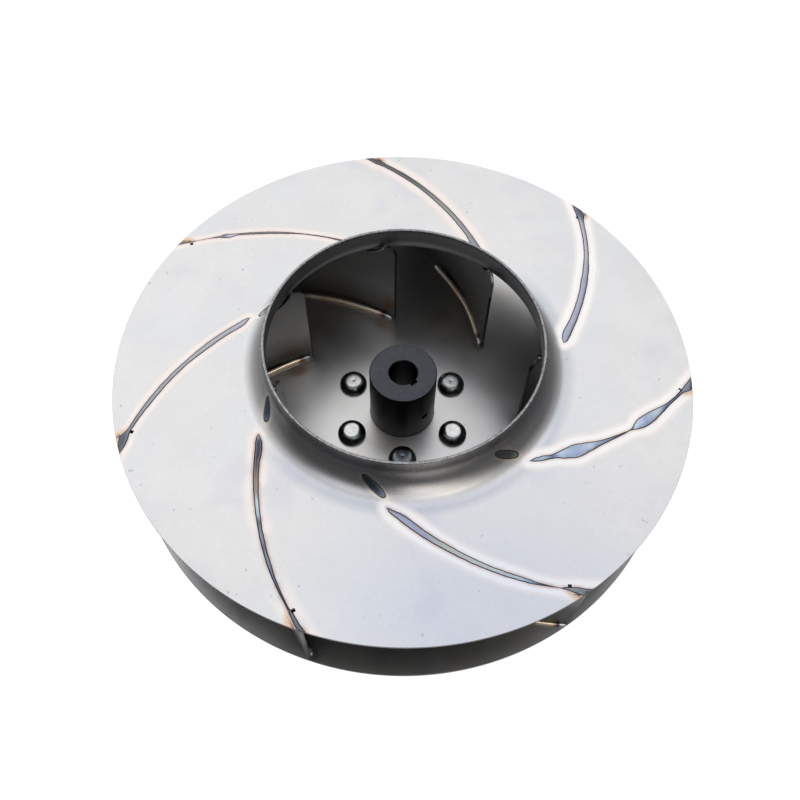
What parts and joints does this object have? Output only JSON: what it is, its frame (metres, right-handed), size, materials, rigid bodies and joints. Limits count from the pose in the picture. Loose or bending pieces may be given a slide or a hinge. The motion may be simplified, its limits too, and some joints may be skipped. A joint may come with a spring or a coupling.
{
  "type": "centrifugal fan impeller",
  "caption": "Closed centrifugal fan wheel: backward-curved blades between a flared front shroud and a flat back plate, stitch welded and riveted to a keyed hub.",
  "frame": {"origin": "centre of the hub flange's rear face, on the axis of the bore", "axes": "+Z along the shaft, out of the inlet; +X and +Y across the wheel, the tail of blade_1 lying 55 degrees clockwise of +X seen from the inlet"},
  "size_m": [0.4, 0.4, 0.108],
  "materials": {
    "shroud_steel": "satin",
    "plate_steel": "satin",
    "blade_steel": "satin",
    "blackened_steel": "satin",
    "rivet_steel": "polished",
    "weld_blue_grey": "satin",
    "weld_straw": "satin"
  },
  "bodies": {
    "root": {"front_shroud": "shroud_steel", "back_plate": "plate_steel", "hub": "blackened_steel", "set_screw": "blackened_steel", "blade_1": "blade_steel", "blade_2": "blade_steel", "blade_3": "blade_steel", "blade_4": "blade_steel", "blade_5": "blade_steel", "blade_6": "blade_steel", "blade_7": "blade_steel", "hub_rivet_1": "rivet_steel", "hub_rivet_2": "rivet_steel", "hub_rivet_3": "rivet_steel", "hub_rivet_4": "rivet_steel", "hub_rivet_5": "rivet_steel", "hub_rivet_6": "rivet_steel", "shroud_weld_1": "weld_blue_grey", "shroud_weld_2": "weld_blue_grey", "shroud_weld_3": "weld_blue_grey", "shroud_weld_4": "weld_blue_grey", "shroud_weld_5": "weld_blue_grey", "shroud_weld_6": "weld_blue_grey", "shroud_weld_7": "weld_blue_grey", "throat_weld_1": "weld_blue_grey", "throat_weld_2": "weld_blue_grey", "throat_weld_3": "weld_blue_grey", "throat_weld_4": "weld_blue_grey", "throat_weld_5": "weld_blue_grey", "throat_weld_6": "weld_blue_grey", "throat_weld_7": "weld_blue_grey", "nose_foot_weld_1": "weld_straw", "nose_foot_weld_2": "weld_straw", "nose_foot_weld_3": "weld_straw", "nose_foot_weld_4": "weld_straw", "nose_foot_weld_5": "weld_straw", "nose_foot_weld_6": "weld_straw", "nose_foot_weld_7": "weld_straw", "tail_foot_weld_1": "weld_straw", "tail_foot_weld_2": "weld_straw", "tail_foot_weld_3": "weld_straw", "tail_foot_weld_4": "weld_straw", "tail_foot_weld_5": "weld_straw", "tail_foot_weld_6": "weld_straw", "tail_foot_weld_7": "weld_straw"}
  },
  "joints": []
}
